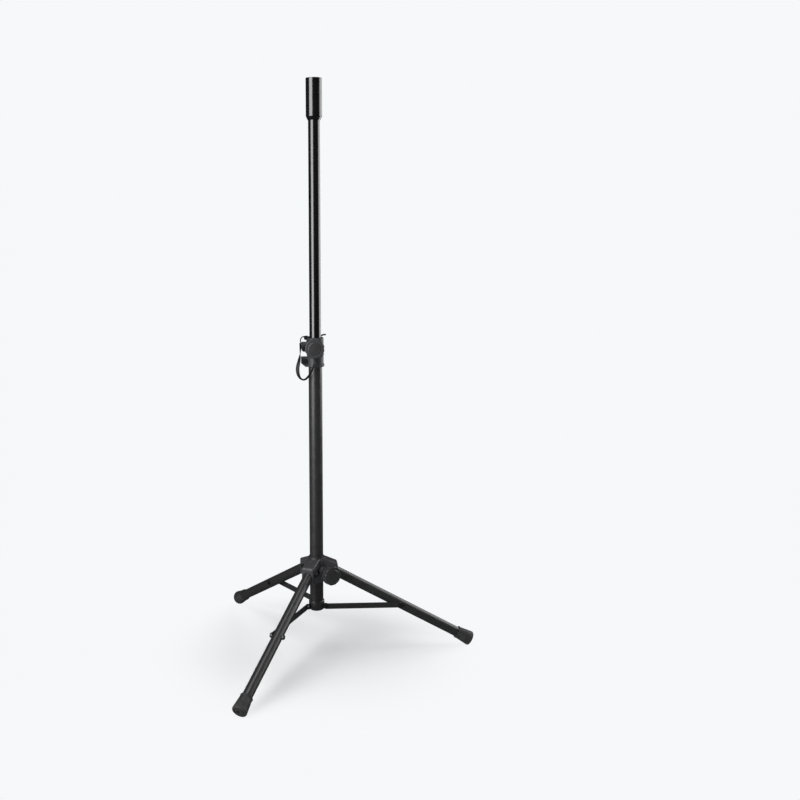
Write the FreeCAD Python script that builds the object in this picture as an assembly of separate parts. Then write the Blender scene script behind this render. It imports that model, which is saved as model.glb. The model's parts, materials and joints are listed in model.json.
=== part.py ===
"""Telescoping speaker stand: a mast with a pole adapter, a clamp collar and a folding tripod.

Millimetres. +Z is up. The origin is on the floor, on the mast's axis. The right leg points along +X,
the collar knob points within a few degrees of -Y, and the stand is open with its mast at full height.
"""

import FreeCAD, Part
import math
import os

V = FreeCAD.Vector
UP = V(0, 0, 1)

# ---- driving dimensions ------------------------------------------------------------------------
HEIGHT = 1270.0                # floor to the top of the pole adapter
MAST_R, MAST_WALL = 12.7, 1.2
TUBE_R, TUBE_WALL = 15.0, 1.2  # lower tube
LEG_R, LEG_WALL = 11.0, 1.2
ADAPTER_R, ADAPTER_STRAIGHT, ADAPTER_TAPER = 17.45, 81.0, 8.0
MAST_FOOT_Z = 580.0            # lower end of the mast at full height
HOLE_R, HOLE_PITCH, HOLE_COUNT, LOWEST_HOLE_Z = 3.5, 101.6, 5, 711.3
HOLE_AZ = -150.0               # side of the mast that the pin's head faces

COLLAR_TOP, COLLAR_HEIGHT, COLLAR_R = 712.5, 64.0, 18.25
TUBE_TOP = 686.0               # lower tube's upper end, inside the collar
COLLAR_KNOB_Z, COLLAR_KNOB_AZ = 692.5, -96.0
EAR_X, EAR_BOLT_X, EAR_BOLT_Z = -31.0, -24.0, (660.5, 689.0)   # clamp ears, pointing along -X
EAR_HALF, SLIT = 7.0, 2.4

LEG_AZ = {"right": 0.0, "rear": 120.0, "front": 240.0}
LEG_SLOPE, FOLDED_SLOPE = 29.0, 88.0   # degrees below the horizontal, open and folded
LEG_LENGTH = 365.5             # hub pivot to the middle of the foot's end
PIVOT_R = 32.0                 # hub pivot to the mast's axis
BRACE_PIN_R = 187.0            # brace pin on the leg to the mast's axis, leg open
BRACE_ROOT_R, BRACE_ROOT_Z = 20.5, 107.0
BRACE_OFFSET = 11.5            # inner face of a brace to the middle plane of its leg
BRACE_THICK, BRACE_HALF = 3.0, 6.0
FOOT_END_R, FOOT_MOUTH_R, FOOT_LENGTH, FOOT_ROUND, FOOT_SOLE = 16.0, 13.0, 36.0, 3.0, 6.0

HUB_TOP, HUB_BOTTOM = 27.0, -26.0      # from the pivot's height
HUB_BARREL_R, HUB_REACH, HUB_CHEEK = 20.0, 47.0, 14.4
HUB_SLOT, HUB_KNOB_AZ, HUB_KNOB_RISE = 11.6, -60.0, 1.5
LINER_WALL, SLIDE_GAP = 1.5, 0.08

BOLT_R, BOLT_HEAD_R, BOLT_HEAD_H = 3.0, 5.2, 3.0
RUN_GAP = 0.05                 # radial play of a turning fit
STUD_R = 4.0
KNOB_R, KNOB_THICK, KNOB_NECK_R = 21.2, 14.0, 6.5
FLUTES, FLUTE_R, FLUTE_DEPTH = 12, 5.0, 1.3
CAP_R, CAP_THICK = 14.0, 2.2
PAD_R = 4.5

PIN_R, PIN_HEAD_R, PIN_Z = 3.0, 4.6, 711.0
PIN_END, PIN_NECK, PIN_SHOULDER = -16.0, -10.0, 22.0    # stations along the pin
HOOK_R, HOOK_START, HOOK_TOP, HOOK_END, HOOK_RISE = 1.7, 24.0, 30.5, 39.0, 3.4
RING_R, RING_WIRE, RING_LEAN = 8.5, 1.2, 40.0
STRAP_R = 1.5
STRAP_ROUTE = [(-2.3, -21.9, 680.5), (-3, -24, 667), (-5, -27, 653), (-12, -26, 637), (-24, -20, 620.5),
               (-36, -13, 624.5), (-41, -11, 643), (-35.5, -9, 665), (-33, -5, 682), (-32.8, 0, 695)]

# ---- worked out from them ----------------------------------------------------------------------
SLOPE = math.radians(LEG_SLOPE)
FOOT_CONTACT = (FOOT_END_R - FOOT_ROUND) * math.cos(SLOPE) + FOOT_ROUND - FOOT_ROUND * math.sin(SLOPE)
PIVOT_Z = LEG_LENGTH * math.sin(SLOPE) + FOOT_CONTACT
PIN_ALONG_LEG = (BRACE_PIN_R - PIVOT_R) / math.cos(SLOPE)
BRACE_PIN_Z = PIVOT_Z - PIN_ALONG_LEG * math.sin(SLOPE)
BRACE_LENGTH = math.hypot(BRACE_PIN_R - BRACE_ROOT_R, BRACE_PIN_Z - BRACE_ROOT_Z)
BRACE_RISE = math.degrees(math.atan2(BRACE_PIN_Z - BRACE_ROOT_Z, BRACE_PIN_R - BRACE_ROOT_R))
COLLAR_BOTTOM = COLLAR_TOP - COLLAR_HEIGHT
BRACKET_R, BRACKET_BOTTOM, BRACKET_TOP = TUBE_R + 2.4, 98.5, 119.0
LUG_INNER, LUG_OUTER = 8.2, 11.2
PIN_OFFSET = MAST_R + PIN_R + 0.6


# ---- shape helpers -----------------------------------------------------------------------------
def rod(radius, start, end):
    """Solid cylinder between two points."""
    return Part.makeCylinder(radius, (end - start).Length, start, end - start)


def pipe(outer, inner, start, end):
    """Round tube between two points."""
    reach = (end - start).normalize()
    return rod(outer, start, end).cut(rod(inner, start - reach, end + reach))


def on_axis(z):
    """Point on the mast's axis."""
    return V(0, 0, z)


def turned(outline):
    """Solid of revolution about the Z axis from (radius, z) corners."""
    wire = Part.makePolygon([V(r, 0, z) for r, z in outline + outline[:1]])
    return Part.Face(wire).revolve(V(0, 0, 0), UP, 360)


def plate(outline, low, high):
    """Flat plate in the XZ plane from (x, z) corners, between two Y values."""
    wire = Part.makePolygon([V(x, low, z) for x, z in outline + outline[:1]])
    return Part.Face(wire).extrude(V(0, high - low, 0))


def around(shape, azimuth):
    """Copy turned about the mast's axis."""
    copy = shape.copy()
    copy.rotate(V(0, 0, 0), UP, azimuth)
    return copy


def outward(shape, azimuth, height):
    """Copy of a shape built along +Z, laid to point out from the mast at a height."""
    copy = shape.copy()
    copy.rotate(V(0, 0, 0), V(0, 1, 0), 90)
    copy.rotate(V(0, 0, 0), UP, azimuth)
    copy.translate(V(0, 0, height))
    return copy


def along_leg(shape):
    """Copy of a shape built along +Z from the pivot, laid down the open right leg."""
    copy = shape.copy()
    copy.rotate(V(0, 0, 0), V(0, 1, 0), 90 + LEG_SLOPE)
    copy.translate(V(PIVOT_R, 0, PIVOT_Z))
    return copy


def across(radius, x, z, low, high):
    """Cylinder along Y between two Y values."""
    return rod(radius, V(x, low, z), V(x, high, z))


def hexagon(radius, x, z, low, high):
    """Hexagonal prism along Y, radius to its corners."""
    corners = [(x + radius * math.cos(math.radians(a)), z + radius * math.sin(math.radians(a)))
               for a in range(0, 360, 60)]
    return plate(corners, low, high)


def fillet_where(shape, radius, test):
    """Round the edges whose middle passes the test."""
    edges = [e for e in shape.Edges if test(e.CenterOfMass, e)]
    return shape.makeFillet(radius, edges)


def swept_round(radius, points):
    """Round tube along straight runs joined by tangent arcs; returns the solid and its radii."""
    edges, bends = [], []
    at = points[0]
    for before, corner, after in zip(points, points[1:], points[2:]):
        inward = (corner - before).normalize()
        onward = (after - corner).normalize()
        shorter = min((corner - before).Length, (after - corner).Length)
        cut_back = 0.45 * shorter
        turn = inward.getAngle(onward)
        start, end = corner - inward * cut_back, corner + onward * cut_back
        bend = cut_back / math.tan(turn / 2)
        centre_way = (onward - inward).normalize()
        centre = corner + centre_way * math.hypot(bend, cut_back)
        middle = centre - centre_way * bend
        edges += [Part.LineSegment(at, start).toShape(), Part.Arc(start, middle, end).toShape()]
        bends.append(bend)
        at = end
    edges.append(Part.LineSegment(at, points[-1]).toShape())
    path = Part.Wire(edges)
    first = (points[1] - points[0]).normalize()
    profile = Part.Wire(Part.makeCircle(radius, points[0], first))
    return path.makePipeShell([profile], True, False), bends, path.Length


# ---- mast --------------------------------------------------------------------------------------
def mast_tube():
    tube = pipe(MAST_R, MAST_R - MAST_WALL, on_axis(MAST_FOOT_Z), on_axis(HEIGHT - 4))
    way = V(math.cos(math.radians(HOLE_AZ)), math.sin(math.radians(HOLE_AZ)), 0) * (MAST_R + 5)
    for index in range(HOLE_COUNT):
        centre = on_axis(LOWEST_HOLE_Z + index * HOLE_PITCH)
        tube = tube.cut(rod(HOLE_R, centre - way, centre + way))
    return tube


def pole_adapter():
    low = HEIGHT - ADAPTER_STRAIGHT - ADAPTER_TAPER
    shoulder = HEIGHT - ADAPTER_STRAIGHT
    body = turned([(MAST_R, low), (MAST_R + 0.9, low), (ADAPTER_R - 0.8, shoulder - 1.4),
                   (ADAPTER_R, shoulder), (ADAPTER_R, HEIGHT), (MAST_R, HEIGHT)])
    return fillet_where(body, 1.0, lambda c, e: abs(c.z - HEIGHT) < 0.01 and e.BoundBox.XMax > ADAPTER_R - 1)


def adapter_cap():
    bore = MAST_R - MAST_WALL
    return turned([(0, HEIGHT - 24), (bore, HEIGHT - 24), (bore, HEIGHT - 4), (MAST_R, HEIGHT - 4),
                   (MAST_R, HEIGHT - 1.2), (MAST_R - 1, HEIGHT - 0.6), (0, HEIGHT - 0.6)])


def mast_guide_plug():
    bore, slide = MAST_R - MAST_WALL, TUBE_R - TUBE_WALL - SLIDE_GAP
    foot = MAST_FOOT_Z
    return turned([(bore - 3, foot + 22), (bore, foot + 22), (bore, foot), (slide, foot),
                   (slide, foot - 12), (slide - 1, foot - 14), (bore - 3, foot - 14)])


# ---- lower tube, collar and bracket ------------------------------------------------------------
def lower_tube():
    return pipe(TUBE_R, TUBE_R - TUBE_WALL, on_axis(BRACKET_BOTTOM), on_axis(TUBE_TOP))


def clamp_ears():
    """Two pairs of ears; the rear one of the upper pair is cut low, clear of the pin's ring."""
    lower = [(-15, 648.5), (-22, 648.5), (EAR_X, 656), (EAR_X, 670), (-15, 670)]
    ears = plate(lower, -EAR_HALF, EAR_HALF)
    for low, high, top in ((-EAR_HALF, 0, 703.5), (0, EAR_HALF, 695)):
        upper = [(-15.5, 682), (EAR_X + 4, 682), (EAR_X + 1, 685), (EAR_X + 1, top), (-15.5, top)]
        ears = ears.fuse(plate(upper, low, high))
    return ears


def collar():
    """Clamp collar: bands round it, a knob boss, split clamp ears and a slot that holds the spare pin."""
    top, bottom, skin = COLLAR_TOP, COLLAR_BOTTOM, COLLAR_R
    body = turned([(12.9, top), (skin - 1.2, top), (skin, top - 1.2),
                   (skin, top - 29), (skin + 0.9, top - 30), (skin + 0.9, top - 33),
                   (skin - 0.5, top - 33.6), (skin - 0.5, top - 35.2),
                   (skin + 0.9, top - 35.8), (skin + 0.9, top - 38.6), (skin, top - 39.6),
                   (skin, top - 57.4), (skin + 1.5, top - 58.6), (skin + 1.5, bottom + 1),
                   (skin + 0.5, bottom), (TUBE_R, bottom), (TUBE_R, top - 7), (12.9, top - 7)])
    boss = outward(rod(9.0, on_axis(15.5), on_axis(26)), COLLAR_KNOB_AZ, COLLAR_KNOB_Z)
    body = body.fuse(boss.cut(rod(TUBE_R + 0.2, on_axis(0), on_axis(HEIGHT))))
    body = body.fuse(clamp_ears().cut(rod(TUBE_R + 0.2, on_axis(0), on_axis(HEIGHT))))
    body = body.cut(Part.makeBox(25, SLIT, COLLAR_HEIGHT + 2, V(-38, -SLIT / 2, COLLAR_BOTTOM - 1)))
    for height in EAR_BOLT_Z:
        body = body.cut(across(BOLT_R, EAR_BOLT_X, height, -9, 9))
    stud_hole = rod(STUD_R + RUN_GAP, on_axis(14), on_axis(27))
    stud_hole = stud_hole.fuse(rod(PAD_R, on_axis(14), on_axis(16.6)))
    body = body.cut(outward(stud_hole, COLLAR_KNOB_AZ, COLLAR_KNOB_Z))
    slot = Part.makeBox(50, 2 * PIN_R + 0.6, 12, V(-25, PIN_OFFSET - PIN_R - 0.3, PIN_Z - PIN_R - 0.3))
    head_recess = rod(PIN_HEAD_R + 0.4, pin_point(PIN_NECK + 0.4), pin_point(PIN_END - 8))
    return body.cut(around(slot, HOLE_AZ + 180)).cut(head_recess)


def collar_liner():
    body = pipe(TUBE_R, MAST_R + SLIDE_GAP, on_axis(TUBE_TOP), on_axis(COLLAR_TOP - 7))
    return body.cut(outward(rod(PAD_R, on_axis(10), on_axis(20)), COLLAR_KNOB_AZ, COLLAR_KNOB_Z))


def collar_brake_pad():
    return outward(rod(PAD_R - 0.02, on_axis(MAST_R + 0.06), on_axis(16.5)), COLLAR_KNOB_AZ, COLLAR_KNOB_Z)


def clamp_bolts():
    bolts = []
    for height in EAR_BOLT_Z:
        shank = across(BOLT_R, EAR_BOLT_X, height, -EAR_HALF, EAR_HALF + 6)
        bolts.append(shank.fuse(hexagon(BOLT_HEAD_R + 0.6, EAR_BOLT_X, height, -EAR_HALF - 3.5, -EAR_HALF)))
    return Part.makeCompound(bolts)


def clamp_nuts():
    nuts = []
    for height in EAR_BOLT_Z:
        nut = hexagon(BOLT_HEAD_R + 0.6, EAR_BOLT_X, height, EAR_HALF, EAR_HALF + 4.5)
        nuts.append(nut.cut(across(BOLT_R, EAR_BOLT_X, height, EAR_HALF - 1, EAR_HALF + 6)))
    return Part.makeCompound(nuts)


def brace_bracket():
    """Ring round the foot of the lower tube, with one lug beside each leg's middle plane."""
    foot, top = BRACKET_BOTTOM, BRACKET_TOP
    body = turned([(TUBE_R, foot), (BRACKET_R - 1.5, foot), (BRACKET_R, foot + 2),
                   (BRACKET_R, top - 1.5), (BRACKET_R - 1.2, top), (TUBE_R, top)])
    low, high = BRACE_ROOT_Z - BRACE_HALF, BRACE_ROOT_Z + BRACE_HALF
    lug = plate([(8, low), (BRACE_ROOT_R, low), (BRACE_ROOT_R, high), (8, high)], -LUG_OUTER, -LUG_INNER)
    lug = lug.fuse(across(BRACE_HALF, BRACE_ROOT_R, BRACE_ROOT_Z, -LUG_OUTER, -LUG_INNER))
    lug = lug.cut(rod(TUBE_R + 0.5, on_axis(0), on_axis(HEIGHT)))
    lug = lug.cut(across(BOLT_R, BRACE_ROOT_R, BRACE_ROOT_Z, -20, 0))
    for azimuth in LEG_AZ.values():
        body = body.fuse(around(lug, azimuth))
    return body


def bracket_rivets():
    outer = BRACE_OFFSET + BRACE_THICK + 0.2
    rivet = across(BOLT_R, BRACE_ROOT_R, BRACE_ROOT_Z, -outer, -LUG_INNER)
    rivet = rivet.fuse(across(4.4, BRACE_ROOT_R, BRACE_ROOT_Z, -outer - 1.8, -outer))
    rivet = rivet.fuse(across(3.8, BRACE_ROOT_R, BRACE_ROOT_Z, -LUG_INNER, -LUG_INNER + 1.6))
    return Part.makeCompound([around(rivet, azimuth) for azimuth in LEG_AZ.values()])


def tube_end_plug():
    bore, foot = TUBE_R - TUBE_WALL, BRACKET_BOTTOM
    return turned([(0, foot - 2.5), (TUBE_R - 4, foot - 2.5), (TUBE_R - 0.8, foot - 1.2),
                   (TUBE_R, foot), (bore, foot), (bore, foot + 12), (0, foot + 12)])


# ---- knobs -------------------------------------------------------------------------------------
def knob(neck_start, face_start, azimuth, height):
    """Round grip knob with shallow flutes, a neck and a seat for its cap."""
    face = face_start + KNOB_THICK
    grip = rod(KNOB_R, on_axis(face_start), on_axis(face))
    grip = fillet_where(grip, 2.5, lambda c, e: e.BoundBox.ZLength < 0.01)
    for index in range(FLUTES):
        way = 2 * math.pi * index / FLUTES
        at = V(math.cos(way), math.sin(way), 0) * (KNOB_R + FLUTE_R - FLUTE_DEPTH)
        grip = grip.cut(rod(FLUTE_R, at + on_axis(face_start - 1), at + on_axis(face + 1)))
    neck = rod(KNOB_NECK_R, on_axis(neck_start), on_axis(face_start + 1))
    body = grip.fuse(neck).cut(rod(CAP_R, on_axis(face - 1.2), on_axis(face + 1)))
    body = body.cut(rod(STUD_R, on_axis(neck_start - 1), on_axis(face - 5)))
    return outward(body, azimuth, height)


def knob_stud(tip, face_start, azimuth, height):
    return outward(rod(STUD_R, on_axis(tip), on_axis(face_start + KNOB_THICK - 5)), azimuth, height)


def knob_cap(face_start, azimuth, height):
    """Plain domed disc let into the knob's face."""
    low = face_start + KNOB_THICK - 1.2
    disc = turned([(0, low), (CAP_R, low), (CAP_R, low + 1.3), (CAP_R - 1.2, low + 1.9),
                   (0, low + CAP_THICK)])
    return outward(disc, azimuth, height)


# ---- locking pin and its strap -----------------------------------------------------------------
def pin_point(along, z=PIN_Z):
    """Point on the pin's axis: positive towards the tip, which points away from the head's side."""
    way = math.radians(HOLE_AZ + 180)
    x = along * math.cos(way) - PIN_OFFSET * math.sin(way)
    y = along * math.sin(way) + PIN_OFFSET * math.cos(way)
    return V(x, y, z)


def ring_about_head(wire):
    """Ring through the pin's head at a wire radius: it leans out and down in the pin's upright plane."""
    outward_way = (pin_point(-1) - pin_point(0)).normalize()
    lean = math.radians(RING_LEAN)
    hang = outward_way * math.cos(lean) - UP * math.sin(lean)
    centre = pin_point((PIN_END + PIN_NECK) / 2) + hang * RING_R
    return Part.makeTorus(RING_R, wire, centre, outward_way.cross(UP))


def locking_pin():
    """Pin with a drilled head and a thin hooked tip that keeps it from slipping out of a hole."""
    body = rod(PIN_HEAD_R, pin_point(PIN_END), pin_point(PIN_NECK))
    body = body.fuse(rod(PIN_R, pin_point(PIN_NECK), pin_point(PIN_SHOULDER)))
    hook_route = [pin_point(PIN_SHOULDER - 3), pin_point(HOOK_START), pin_point(HOOK_TOP, PIN_Z + HOOK_RISE),
                  pin_point(HOOK_END, PIN_Z + HOOK_RISE)]
    hook = swept_round(HOOK_R, hook_route)[0]
    return body.fuse(hook).cut(ring_about_head(RING_WIRE + 0.25))


def pin_ring():
    return ring_about_head(RING_WIRE)


def strap_eye():
    return outward(pipe(12.0, 9.3, on_axis(20.5), on_axis(23.5)), COLLAR_KNOB_AZ, COLLAR_KNOB_Z)


def tether_strap():
    """Round tube on the strap's route, from its eye on the collar to the pin's ring."""
    solid, bends, length = swept_round(STRAP_R, [V(*point) for point in STRAP_ROUTE])
    print("strap length", round(length, 1), "bend radii", [round(bend, 1) for bend in bends],
          "volume ratio", round(solid.Volume / (math.pi * STRAP_R ** 2 * length), 4))
    return solid


# ---- sliding hub -------------------------------------------------------------------------------
def hub_slot():
    """Space that a leg's head sweeps from open to folded, for the right leg, about its pivot."""
    reach = 70.0
    low, high = math.radians(LEG_SLOPE), math.radians(FOLDED_SLOPE)
    sector = [(PIVOT_R, PIVOT_Z)]
    for slope in (low, (low + high) / 2, high):
        stretch = reach / math.cos((high - low) / 4)
        sector.append((PIVOT_R + stretch * math.cos(slope), PIVOT_Z - stretch * math.sin(slope)))
    space = plate(sector, -HUB_SLOT, HUB_SLOT)
    pivot = V(PIVOT_R, 0, PIVOT_Z)
    for slope in (low, high):
        way = V(math.cos(slope), 0, -math.sin(slope))
        space = space.fuse(rod(HUB_SLOT, pivot, pivot + way * reach))
    return space.fuse(across(HUB_SLOT, PIVOT_R, PIVOT_Z, -HUB_SLOT, HUB_SLOT))


def hub_hood():
    """Hood over the right leg's head, its outer and upper edges rounded."""
    z, side = PIVOT_Z, HUB_CHEEK
    hood = plate([(12, z - 23), (28, z - 23), (HUB_REACH, z - 19), (HUB_REACH, z + 14.5),
                  (18, z + HUB_TOP - 0.4), (12, z + HUB_TOP - 0.4)], -side, side)
    hood = fillet_where(hood, 5.0, lambda c, e: abs(c.y) < 0.01 and c.x > 30 and c.z > z)
    return fillet_where(hood, 3.0, lambda c, e: abs(abs(c.y) - side) < 0.01 and c.x > 20 and c.z > z - 15)


def leg_hub():
    """Moulded hub: a barrel, one hood over each leg's head and a boss for the clamp knob."""
    z = PIVOT_Z
    bore = TUBE_R + SLIDE_GAP + LINER_WALL
    top, bottom = z + HUB_TOP, z + HUB_BOTTOM
    barrel = turned([(bore, bottom), (HUB_BARREL_R - 1, bottom), (HUB_BARREL_R, bottom + 1.5),
                     (HUB_BARREL_R, top - 5), (bore + 1.6, top), (bore, top)])
    hood = hub_hood().cut(rod(bore, on_axis(0), on_axis(HEIGHT)))
    boss = outward(rod(9.5, on_axis(16), on_axis(33)), HUB_KNOB_AZ, z + HUB_KNOB_RISE)
    body = barrel
    for azimuth in LEG_AZ.values():
        body = body.fuse(around(hood, azimuth))
    body = body.fuse(boss.cut(rod(bore, on_axis(0), on_axis(HEIGHT))))
    bolt_hole = across(BOLT_R, PIVOT_R, z, -20, 20)
    for azimuth in LEG_AZ.values():
        body = body.cut(around(hub_slot().fuse(bolt_hole), azimuth))
    body = body.cut(outward(rod(STUD_R + RUN_GAP, on_axis(15), on_axis(35)), HUB_KNOB_AZ, z + HUB_KNOB_RISE))
    return body.cut(outward(rod(PAD_R, on_axis(15), on_axis(18.2)), HUB_KNOB_AZ, z + HUB_KNOB_RISE))


def hub_liner():
    """Flanged nylon bush that slides on the lower tube."""
    z, inner = PIVOT_Z, TUBE_R + SLIDE_GAP
    outer = inner + LINER_WALL
    top, bottom = z + HUB_TOP, z + HUB_BOTTOM
    body = turned([(inner, bottom), (outer, bottom), (outer, top), (outer + 0.9, top),
                   (outer + 0.4, top + 3.6), (inner, top + 3.6)])
    return body.cut(outward(rod(PAD_R, on_axis(13), on_axis(19)), HUB_KNOB_AZ, z + HUB_KNOB_RISE))


def hub_brake_pad():
    pad = rod(PAD_R - 0.02, on_axis(TUBE_R + 0.06), on_axis(18.1))
    return outward(pad, HUB_KNOB_AZ, PIVOT_Z + HUB_KNOB_RISE)


def hub_pivot_bolts():
    bolt = across(BOLT_R, PIVOT_R, PIVOT_Z, -HUB_CHEEK, HUB_CHEEK + 4.6)
    bolt = bolt.fuse(hexagon(BOLT_HEAD_R, PIVOT_R, PIVOT_Z, -HUB_CHEEK - BOLT_HEAD_H, -HUB_CHEEK))
    return Part.makeCompound([around(bolt, azimuth) for azimuth in LEG_AZ.values()])


def hub_pivot_nuts():
    nut = hexagon(BOLT_HEAD_R, PIVOT_R, PIVOT_Z, HUB_CHEEK, HUB_CHEEK + 4)
    nut = nut.cut(across(BOLT_R, PIVOT_R, PIVOT_Z, HUB_CHEEK - 1, HUB_CHEEK + 6))
    return Part.makeCompound([around(nut, azimuth) for azimuth in LEG_AZ.values()])


# ---- legs, feet and braces, drawn for the right leg ---------------------------------------------
def leg_tube():
    tube = along_leg(pipe(LEG_R, LEG_R - LEG_WALL, on_axis(12), on_axis(LEG_LENGTH - FOOT_SOLE)))
    return tube.cut(across(BOLT_R, BRACE_PIN_R, BRACE_PIN_Z, -20, 20))


def leg_head():
    """Moulded head that pivots in the hub, with a spigot in the leg tube."""
    spigot = along_leg(rod(LEG_R - LEG_WALL, on_axis(0), on_axis(34)))
    shoulder = along_leg(rod(LEG_R, on_axis(0), on_axis(12)))
    head = across(LEG_R - 0.2, PIVOT_R, PIVOT_Z, -LEG_R, LEG_R)
    body = head.fuse(shoulder).fuse(spigot)
    return body.cut(across(BOLT_R + RUN_GAP, PIVOT_R, PIVOT_Z, -20, 20))


def foot():
    """Rubber foot: a tapered cup over the leg's end, with a lip at its mouth and a ringed sole."""
    mouth, sole = LEG_LENGTH - FOOT_LENGTH, LEG_LENGTH
    lip = FOOT_MOUTH_R + 0.6
    ring_outer, ring_inner, hollow, deep = 11.5, 8.5, 4.5, 1.6
    outline = [(LEG_R, mouth), (lip, mouth), (lip, mouth + 2.4), (FOOT_MOUTH_R, mouth + 3.4),
               (FOOT_END_R, sole - 4), (FOOT_END_R, sole), (ring_outer, sole), (ring_outer, sole - deep),
               (ring_inner, sole - deep), (ring_inner, sole), (hollow, sole), (hollow, sole - 2 * deep),
               (0, sole - 2 * deep), (0, sole - FOOT_SOLE), (LEG_R, sole - FOOT_SOLE)]
    body = fillet_where(turned(outline), FOOT_ROUND,
                        lambda c, e: abs(c.z - sole) < 0.01 and e.BoundBox.XMax > FOOT_END_R - 0.1)
    return along_leg(body)


def brace():
    """Flat steel bar beside the leg, with round ends and a pressed groove in its outer face."""
    length, half = BRACE_LENGTH, BRACE_HALF
    low, high = -BRACE_OFFSET - BRACE_THICK, -BRACE_OFFSET
    bar = plate([(0, -half), (length, -half), (length, half), (0, half)], low, high)
    bar = bar.fuse(across(half, 0, 0, low, high)).fuse(across(half, length, 0, low, high))
    groove = plate([(16, -2), (length - 16, -2), (length - 16, 2), (16, 2)], low - 1, low + 0.9)
    for end in (16, length - 16):
        groove = groove.fuse(across(2, end, 0, low - 1, low + 0.9))
    bar = bar.cut(groove)
    bar = bar.cut(across(BOLT_R + RUN_GAP, 0, 0, low - 1, high + 1))
    bar = bar.cut(across(BOLT_R, length, 0, low - 1, high + 1))
    bar.rotate(V(0, 0, 0), V(0, 1, 0), -BRACE_RISE)
    bar.translate(V(BRACE_ROOT_R, 0, BRACE_ROOT_Z))
    return bar


def brace_bolt():
    """Bolt head and the end of its shank, which turn with the brace."""
    outer = BRACE_OFFSET + BRACE_THICK
    shank = across(BOLT_R, BRACE_PIN_R, BRACE_PIN_Z, -outer, -LEG_R - 0.35)
    return shank.fuse(hexagon(BOLT_HEAD_R, BRACE_PIN_R, BRACE_PIN_Z, -outer - BOLT_HEAD_H, -outer))


def brace_nut():
    """Shank through the leg tube and the nut on its far side."""
    shank = across(BOLT_R, BRACE_PIN_R, BRACE_PIN_Z, -LEG_R, LEG_R)
    return shank.fuse(hexagon(BOLT_HEAD_R, BRACE_PIN_R, BRACE_PIN_Z, LEG_R, LEG_R + 4))


# ---- every node --------------------------------------------------------------------------------
def nodes():
    collar_face = 31.0
    hub_face, hub_height = 52.0, PIVOT_Z + HUB_KNOB_RISE
    made = {
        "mast_tube": mast_tube(), "pole_adapter": pole_adapter(), "adapter_cap": adapter_cap(),
        "mast_guide_plug": mast_guide_plug(), "lower_tube": lower_tube(), "collar": collar(),
        "collar_liner": collar_liner(), "collar_brake_pad": collar_brake_pad(), "clamp_bolts": clamp_bolts(),
        "clamp_nuts": clamp_nuts(), "brace_bracket": brace_bracket(), "bracket_rivets": bracket_rivets(),
        "tube_end_plug": tube_end_plug(),
        "collar_knob": knob(26.3, collar_face, COLLAR_KNOB_AZ, COLLAR_KNOB_Z),
        "collar_knob_stud": knob_stud(16.7, collar_face, COLLAR_KNOB_AZ, COLLAR_KNOB_Z),
        "collar_knob_cap": knob_cap(collar_face, COLLAR_KNOB_AZ, COLLAR_KNOB_Z),
        "hub_knob": knob(33.3, hub_face, HUB_KNOB_AZ, hub_height),
        "hub_knob_stud": knob_stud(18.3, hub_face, HUB_KNOB_AZ, hub_height),
        "hub_knob_cap": knob_cap(hub_face, HUB_KNOB_AZ, hub_height),
        "locking_pin": locking_pin(), "pin_ring": pin_ring(), "strap_eye": strap_eye(),
        "tether_strap": tether_strap(), "leg_hub": leg_hub(), "hub_liner": hub_liner(),
        "hub_brake_pad": hub_brake_pad(), "hub_pivot_bolts": hub_pivot_bolts(),
        "hub_pivot_nuts": hub_pivot_nuts(),
    }
    repeated = {"leg_tube": leg_tube(), "leg_head": leg_head(), "foot": foot(), "brace": brace(),
                "brace_bolt": brace_bolt(), "brace_nut": brace_nut()}
    for side, azimuth in LEG_AZ.items():
        for name, shape in repeated.items():
            made[name + "_" + side] = around(shape, azimuth)
    return made


def main():
    os.makedirs("parts", exist_ok=True)
    for name, shape in nodes().items():
        if not shape.isValid() or shape.Volume <= 0:
            raise ValueError(name + " is not a sound solid")
        shape.exportStep("parts/" + name + ".step")
    folded_pin_r = PIVOT_R + PIN_ALONG_LEG * math.cos(math.radians(FOLDED_SLOPE))
    folded_rise = math.acos((folded_pin_r - BRACE_ROOT_R) / BRACE_LENGTH)
    folded_pivot_z = (BRACE_ROOT_Z + BRACE_LENGTH * math.sin(folded_rise)
                      + PIN_ALONG_LEG * math.sin(math.radians(FOLDED_SLOPE)))
    print("pivot z", round(PIVOT_Z, 3), "brace pin z", round(BRACE_PIN_Z, 3),
          "brace length", round(BRACE_LENGTH, 3))
    print("hub travel", round(folded_pivot_z - PIVOT_Z, 3), "leg turn", FOLDED_SLOPE - LEG_SLOPE,
          "brace turn", round(math.degrees(folded_rise) - BRACE_RISE, 3))


main()
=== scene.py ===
"""Looks of the speaker stand: camera, materials, tether strap, softened mouldings and studio."""

import json
import math

import bmesh
import bpy
from mathutils import Matrix, Vector


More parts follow.
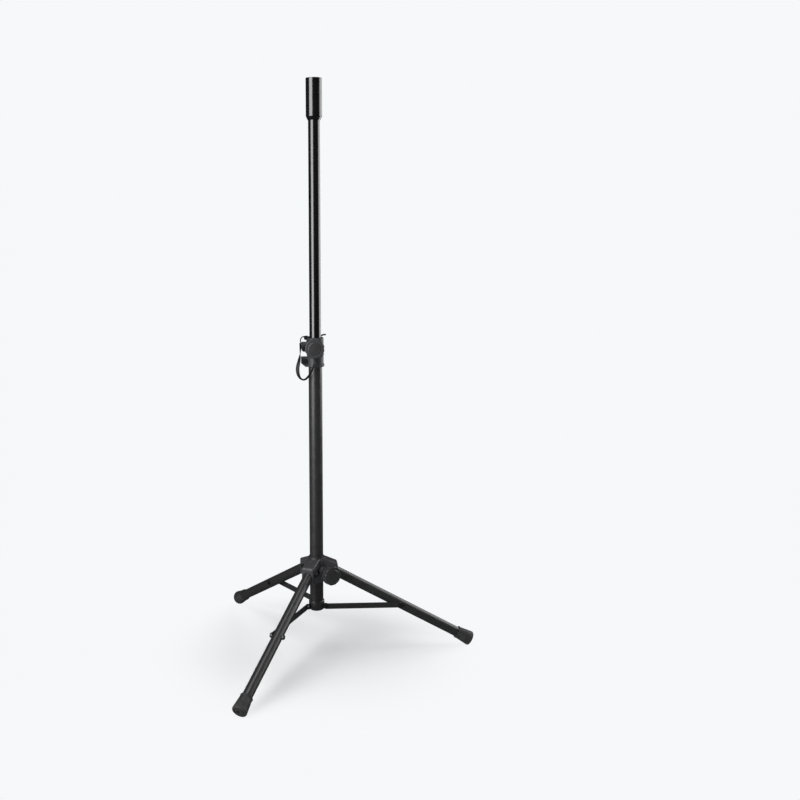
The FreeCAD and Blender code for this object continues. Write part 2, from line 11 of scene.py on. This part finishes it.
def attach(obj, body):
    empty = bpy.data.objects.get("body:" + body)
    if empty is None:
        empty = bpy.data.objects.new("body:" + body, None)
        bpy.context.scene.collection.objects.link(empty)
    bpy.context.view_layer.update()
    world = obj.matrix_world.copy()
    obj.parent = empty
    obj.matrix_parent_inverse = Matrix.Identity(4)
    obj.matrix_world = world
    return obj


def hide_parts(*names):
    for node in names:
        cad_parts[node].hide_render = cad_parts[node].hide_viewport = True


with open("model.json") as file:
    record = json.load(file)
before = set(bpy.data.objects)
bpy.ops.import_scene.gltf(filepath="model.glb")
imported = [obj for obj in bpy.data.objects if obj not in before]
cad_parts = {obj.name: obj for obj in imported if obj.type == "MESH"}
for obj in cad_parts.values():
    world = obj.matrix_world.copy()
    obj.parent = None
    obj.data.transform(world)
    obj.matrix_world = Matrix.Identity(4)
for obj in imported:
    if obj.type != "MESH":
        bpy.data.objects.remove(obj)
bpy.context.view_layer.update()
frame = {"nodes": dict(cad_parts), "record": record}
NODES = frame["nodes"]

# ---- view and studio, in metres and degrees -----------------------------------------------------
CAMERA_AT = (-0.1606, -2.2458, 0.9860)
CAMERA_PITCH, CAMERA_YAW, CAMERA_ROLL = 6.08, 4.75, -0.27
CAMERA_LENS, SENSOR = 46.6, 36.0
CAMERA_SHIFT = (0.0913, -0.0975)
BACKDROP_COLOUR = (0.922, 0.940, 0.956)
# grey of the lit floor near the stand, dimmer than the backdrop so that disc is painted shade under
# the stand; the legs' real shadows fall on it too
SHADED_FLOOR_COLOUR = (0.82, 0.825, 0.832)
FLOOR_SHADE_FADE = (0.13, 0.38)      # radii between which the lit floor turns into the backdrop; the dimmer lit disc inside them is painted shade under the stand
FLOOR_REACH = 60
BACKDROP_LIGHT = 0.03          # how strongly the backdrop itself lights the stand
SOFTBOXES = {                  # name: place, size, watts and the point it faces
    "left_box": ((-1.64, -1.46, 1.3), (1.7, 2.4), 84, (0, 0, 0.9)),
    "right_box": ((1.95, 0.75, 1.3), (2.3, 2.4), 52, (0, 0, 0.9)),
    "top_box": ((-0.5, -0.4, 2.9), (1.6, 1.6), 24, (0, 0, 0)),
}

# ---- mouldings ----------------------------------------------------------------------------------
EDGE_ROUNDS = {"leg_hub": 0.0012, "collar": 0.0008, "brace_bracket": 0.0006}
EDGE_SEGMENTS, EDGE_ANGLE, FLAT_ANGLE = 3, 28, 0.8   # angles in degrees
MOULDED_FINISHES = {           # name: dark and light colour, roughness and grain in waves per metre
    "hub_plastic": ((0.024, 0.024, 0.026), (0.036, 0.036, 0.039), 0.44, 1500),
    "collar_plastic": ((0.020, 0.021, 0.024), (0.031, 0.032, 0.036), 0.46, 1500),
    "knob_plastic": ((0.019, 0.019, 0.020), (0.028, 0.028, 0.030), 0.42, 1500),
    "knob_cap_plastic": ((0.018, 0.018, 0.019), (0.024, 0.024, 0.025), 0.34, 2400),
    "moulded_plastic": ((0.014, 0.014, 0.015), (0.020, 0.020, 0.021), 0.40, 1500),
    "nylon": ((0.010, 0.010, 0.011), (0.015, 0.015, 0.016), 0.55, 900),
}

# ---- tether strap -------------------------------------------------------------------------------
STRAP_WIDTH, STRAP_THICK, STRAP_LENGTH = 0.009, 0.0014, 0.156
STRAP_ROUTE = [
    (-0.0023, -0.0219, 0.6805),
    (-0.003, -0.024, 0.667),
    (-0.005, -0.027, 0.653),
    (-0.012, -0.026, 0.637),
    (-0.024, -0.020, 0.6205),
    (-0.036, -0.013, 0.6245),
    (-0.041, -0.011, 0.643),
    (-0.0355, -0.009, 0.665),
    (-0.033, -0.005, 0.682),
    (-0.0322, 0.002, 0.6995),
]
STRAP_TURNS = [0, 0, 5, 10, 20, 60, 100, 75, 10, 0]   # degrees of twist at each point


# ---- camera -------------------------------------------------------------------------------------
def make_camera():
    data = bpy.data.cameras.new("camera")
    data.lens = CAMERA_LENS
    data.sensor_width = SENSOR
    data.shift_x, data.shift_y = CAMERA_SHIFT
    camera = bpy.data.objects.new("camera", data)
    camera.location = CAMERA_AT
    turn = Matrix.Rotation(math.radians(-CAMERA_YAW), 4, "Z")
    tilt = Matrix.Rotation(math.radians(90 - CAMERA_PITCH), 4, "X")
    roll = Matrix.Rotation(math.radians(CAMERA_ROLL), 4, "Z")
    camera.rotation_euler = (turn @ tilt @ roll).to_euler()
    bpy.context.scene.collection.objects.link(camera)
    bpy.context.scene.camera = camera


# ---- materials ----------------------------------------------------------------------------------
class Finish:
    """A Principled material with helpers that add procedural detail to it."""

    def __init__(self, name, colour, roughness, metallic=0.0, coat=0.0, specular=0.5):
        self.material = bpy.data.materials.new(name)
        self.material.use_nodes = True
        tree = self.material.node_tree
        self.nodes, self.links = tree.nodes, tree.links
        self.shader = self.nodes["Principled BSDF"]
        self.shader.inputs["Base Color"].default_value = (*colour, 1)
        self.shader.inputs["Roughness"].default_value = roughness
        self.shader.inputs["Metallic"].default_value = metallic
        self.shader.inputs["Coat Weight"].default_value = coat
        self.shader.inputs["Coat Roughness"].default_value = 0.12
        self.shader.inputs["Specular IOR Level"].default_value = specular
        self.place = self.nodes.new("ShaderNodeTexCoord").outputs["Object"]
        self.height = None

    def noise(self, scale, detail=3.0, stretch=(1, 1, 1)):
        """Noise in object space; scale is in waves per metre."""
        mapping = self.nodes.new("ShaderNodeMapping")
        mapping.inputs["Scale"].default_value = stretch
        self.links.new(self.place, mapping.inputs["Vector"])
        noise = self.nodes.new("ShaderNodeTexNoise")
        noise.inputs["Scale"].default_value = scale
        noise.inputs["Detail"].default_value = detail
        self.links.new(mapping.outputs["Vector"], noise.inputs["Vector"])
        return noise.outputs["Fac"]

    def spread(self, value, low, high, start=0.3, end=0.7):
        """Value taken from one range to another."""
        ramp = self.nodes.new("ShaderNodeMapRange")
        ramp.inputs["From Min"].default_value = start
        ramp.inputs["From Max"].default_value = end
        ramp.inputs["To Min"].default_value = low
        ramp.inputs["To Max"].default_value = high
        self.links.new(value, ramp.inputs["Value"])
        return ramp.outputs["Result"]

    def vary_roughness(self, value, low, high):
        self.links.new(self.spread(value, low, high), self.shader.inputs["Roughness"])

    def vary_colour(self, value, dark, light, start=0.3, end=0.7):
        mix = self.nodes.new("ShaderNodeMix")
        mix.data_type = "RGBA"
        mix.inputs["A"].default_value = (*dark, 1)
        mix.inputs["B"].default_value = (*light, 1)
        self.links.new(self.spread(value, 0, 1, start, end), mix.inputs["Factor"])
        self.links.new(mix.outputs["Result"], self.shader.inputs["Base Color"])

    def bump(self, value, strength, depth):
        """Adds a layer of relief, depth in metres, on top of those before it."""
        bump = self.nodes.new("ShaderNodeBump")
        bump.inputs["Strength"].default_value = strength
        bump.inputs["Distance"].default_value = depth
        self.links.new(value, bump.inputs["Height"])
        if self.height:
            self.links.new(self.height, bump.inputs["Normal"])
        self.height = bump.outputs["Normal"]
        self.links.new(self.height, self.shader.inputs["Normal"])


def gloss_enamel():
    """Glossy black mast: faint orange peel, and fine rub marks along it from sliding."""
    finish = Finish("gloss_enamel", (0.003, 0.003, 0.0034), 0.2, coat=0.6, specular=0.55)
    rubs = finish.noise(420, 4, (1, 1, 0.02))
    finish.vary_roughness(rubs, 0.15, 0.26)
    finish.vary_colour(finish.noise(9, 2), (0.0022, 0.0022, 0.0025), (0.0042, 0.0042, 0.0048))
    finish.bump(finish.noise(330, 2), 0.04, 0.00002)
    finish.bump(rubs, 0.03, 0.00001)
    return finish.material


def powder_coat():
    """Satin black powder coat with its fine pebbled surface."""
    finish = Finish("powder_coat", (0.017, 0.017, 0.0176), 0.34, specular=0.6)
    finish.vary_roughness(finish.noise(60, 4), 0.28, 0.40)
    finish.vary_colour(finish.noise(2600, 2), (0.013, 0.013, 0.0135), (0.021, 0.021, 0.0216))
    finish.bump(finish.noise(1700, 3), 0.30, 0.00006)
    finish.bump(finish.noise(240, 2), 0.08, 0.00006)
    return finish.material


def moulded(name, dark, light, roughness, grain):
    """Moulded plastic with a spark-eroded grain and slight flow marks."""
    finish = Finish(name, light, roughness, specular=0.45)
    finish.vary_roughness(finish.noise(35, 3), roughness - 0.06, roughness + 0.06)
    finish.vary_colour(finish.noise(28, 4), dark, light)
    finish.bump(finish.noise(grain, 3), 0.35, 0.00008)
    return finish.material


def foot_rubber():
    """Matte rubber with a faint bloom and scuffs."""
    finish = Finish("foot_rubber", (0.024, 0.024, 0.024), 0.62, specular=0.35)
    finish.vary_colour(finish.noise(75, 6), (0.016, 0.016, 0.016), (0.034, 0.034, 0.034), 0.35, 0.7)
    finish.vary_roughness(finish.noise(130, 4), 0.52, 0.72)
    finish.bump(finish.noise(900, 4), 0.3, 0.0001)
    return finish.material


def bright_steel():
    """Zinc plated steel, brushed lightly."""
    finish = Finish("bright_steel", (0.42, 0.42, 0.43), 0.34, metallic=1.0)
    finish.vary_roughness(finish.noise(700, 4, (1, 1, 0.1)), 0.26, 0.42)
    finish.bump(finish.noise(1200, 3, (1, 1, 0.08)), 0.12, 0.00003)
    return finish.material


def black_steel():
    """Black oxide fasteners, worn a little brighter in patches."""
    finish = Finish("black_steel", (0.03, 0.03, 0.031), 0.38, metallic=0.7)
    finish.vary_colour(finish.noise(480, 5), (0.022, 0.022, 0.023), (0.07, 0.07, 0.072), 0.5, 0.8)
    finish.vary_roughness(finish.noise(300, 3), 0.3, 0.46)
    finish.bump(finish.noise(1500, 3), 0.2, 0.00004)
    return finish.material


def strap_plastic():
    """Soft black strap with a fine grain in its relief."""
    finish = Finish("strap", (0.005, 0.005, 0.0054), 0.5, specular=0.25)
    finish.vary_colour(finish.noise(260, 3), (0.003, 0.003, 0.0033), (0.007, 0.007, 0.0074))
    finish.vary_roughness(finish.noise(500, 3), 0.44, 0.58)
    finish.bump(finish.noise(2200, 2), 0.25, 0.00005)
    return finish.material


MATERIALS = {
    "gloss_enamel": gloss_enamel(),
    "powder_coat": powder_coat(),
    "foot_rubber": foot_rubber(),
    "black_steel": black_steel(),
    "bright_steel": bright_steel(),
    "strap": strap_plastic(),
}
for name, finish in MOULDED_FINISHES.items():
    MATERIALS[name] = moulded(name, *finish)
SLOT_OF = {part["node"]: part["material_slot"] for part in frame["record"]["subparts"]}


def dress_cad_nodes():
    """Every CAD node gets its own slot's finish."""
    for name, node in NODES.items():
        for slot in node.material_slots:
            slot.material = MATERIALS[SLOT_OF[name]]


# ---- pieces -------------------------------------------------------------------------------------
def strap():
    """Flat tether strap on the route of its CAD tube, twisting as it hangs."""
    curve = bpy.data.curves.new("tether", "CURVE")
    curve.dimensions = "3D"
    spline = curve.splines.new("NURBS")
    spline.points.add(len(STRAP_ROUTE) - 1)
    for point, place, turn in zip(spline.points, STRAP_ROUTE, STRAP_TURNS):
        point.co = (*place, 1)
        point.tilt = math.radians(turn)
    spline.order_u = 3
    spline.use_endpoint_u = True
    spline.resolution_u = 16
    curve.extrude = (STRAP_WIDTH - STRAP_THICK) / 2
    curve.bevel_depth = STRAP_THICK / 2
    curve.bevel_resolution = 3
    curve.use_fill_caps = True
    piece = bpy.data.objects.new("tether", curve)
    bpy.context.scene.collection.objects.link(piece)
    curve.materials.append(MATERIALS["strap"])
    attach(piece, "column")
    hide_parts("tether_strap")


def softened(node, width):
    """A moulded part's looks: its CAD mesh with the hard edges rounded."""
    mesh = NODES[node].data.copy()
    mesh.name = node + "_moulding"
    work = bmesh.new()
    work.from_mesh(mesh)
    bmesh.ops.remove_doubles(work, verts=work.verts, dist=0.00001)
    flat = math.radians(FLAT_ANGLE)
    bmesh.ops.dissolve_limit(work, angle_limit=flat, verts=work.verts, edges=work.edges)
    for face in work.faces:
        face.smooth = True
    work.to_mesh(mesh)
    work.free()
    piece = bpy.data.objects.new(node + "_moulding", mesh)
    bpy.context.scene.collection.objects.link(piece)
    mesh.materials.clear()
    mesh.materials.append(MATERIALS[SLOT_OF[node]])
    bevel = piece.modifiers.new("round", "BEVEL")
    bevel.width = width
    bevel.segments = EDGE_SEGMENTS
    bevel.limit_method = "ANGLE"
    bevel.angle_limit = math.radians(EDGE_ANGLE)
    bevel.use_clamp_overlap = True
    bevel.harden_normals = True
    bodies = frame["record"]["behaviour"]["bodies"]
    body = next(name for name, members in bodies.items() if node in members)
    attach(piece, body)
    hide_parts(node)


# ---- studio -------------------------------------------------------------------------------------
def softbox(name, place, size, power, aim):
    data = bpy.data.lights.new(name, "AREA")
    data.shape = "RECTANGLE"
    data.size, data.size_y = size
    data.energy = power
    light = bpy.data.objects.new(name, data)
    light.location = place
    light.rotation_euler = (Vector(aim) - Vector(place)).to_track_quat("-Z", "Y").to_euler()
    light.visible_camera = False
    bpy.context.scene.collection.objects.link(light)


def make_floor():
    """Pale floor, lit near the stand and as bright as the backdrop further out; the lit disc near
    the stand is dimmer than the backdrop, a painted shade under the stand, and the legs' real
    shadows fall on it too.
    """
    mesh = bpy.data.meshes.new("floor")
    signs = ((-1, -1), (1, -1), (1, 1), (-1, 1))
    mesh.from_pydata([(x * FLOOR_REACH, y * FLOOR_REACH, 0) for x, y in signs], [], [(0, 1, 2, 3)])
    floor = bpy.data.objects.new("floor", mesh)
    floor.visible_glossy = False
    bpy.context.scene.collection.objects.link(floor)
    paint = bpy.data.materials.new("floor")
    paint.use_nodes = True
    nodes, links = paint.node_tree.nodes, paint.node_tree.links
    matte = nodes["Principled BSDF"]
    matte.inputs["Base Color"].default_value = (*SHADED_FLOOR_COLOUR, 1)
    matte.inputs["Roughness"].default_value = 0.9
    glow = nodes.new("ShaderNodeEmission")
    glow.inputs["Color"].default_value = (*BACKDROP_COLOUR, 1)
    place = nodes.new("ShaderNodeTexCoord")
    radius = nodes.new("ShaderNodeVectorMath")
    radius.operation = "LENGTH"
    # radial fade about the origin: paints a shaded disc under the stand that blends into the
    # glowing backdrop
    shade_fade = nodes.new("ShaderNodeMapRange")
    shade_fade.interpolation_type = "SMOOTHSTEP"
    shade_fade.inputs["From Min"].default_value, shade_fade.inputs["From Max"].default_value = FLOOR_SHADE_FADE
    blend = nodes.new("ShaderNodeMixShader")
    links.new(place.outputs["Object"], radius.inputs[0])
    links.new(radius.outputs["Value"], shade_fade.inputs["Value"])
    links.new(shade_fade.outputs["Result"], blend.inputs["Fac"])
    links.new(matte.outputs["BSDF"], blend.inputs[1])
    links.new(glow.outputs["Emission"], blend.inputs[2])
    links.new(blend.outputs["Shader"], nodes["Material Output"].inputs["Surface"])
    mesh.materials.append(paint)


def make_world():
    """Pale backdrop to look at, with little light of its own."""
    world = bpy.data.worlds.new("studio")
    world.use_nodes = True
    nodes, links = world.node_tree.nodes, world.node_tree.links
    seen = nodes["Background"]
    seen.inputs["Color"].default_value = (*BACKDROP_COLOUR, 1)
    dim = nodes.new("ShaderNodeBackground")
    dim.inputs["Color"].default_value = (*BACKDROP_COLOUR, 1)
    dim.inputs["Strength"].default_value = BACKDROP_LIGHT
    path = nodes.new("ShaderNodeLightPath")
    blend = nodes.new("ShaderNodeMixShader")
    links.new(path.outputs["Is Camera Ray"], blend.inputs["Fac"])
    links.new(dim.outputs["Background"], blend.inputs[1])
    links.new(seen.outputs["Background"], blend.inputs[2])
    links.new(blend.outputs["Shader"], nodes["World Output"].inputs["Surface"])
    bpy.context.scene.world = world


def make_studio():
    """Floor, backdrop and softboxes; the two tall boxes draw the streaks down the tubes."""
    make_floor()
    make_world()
    bpy.context.scene.view_settings.view_transform = "Standard"
    for name, box in SOFTBOXES.items():
        softbox(name, *box)


make_camera()
strap()
dress_cad_nodes()
for node, width in EDGE_ROUNDS.items():
    softened(node, width)
make_studio()
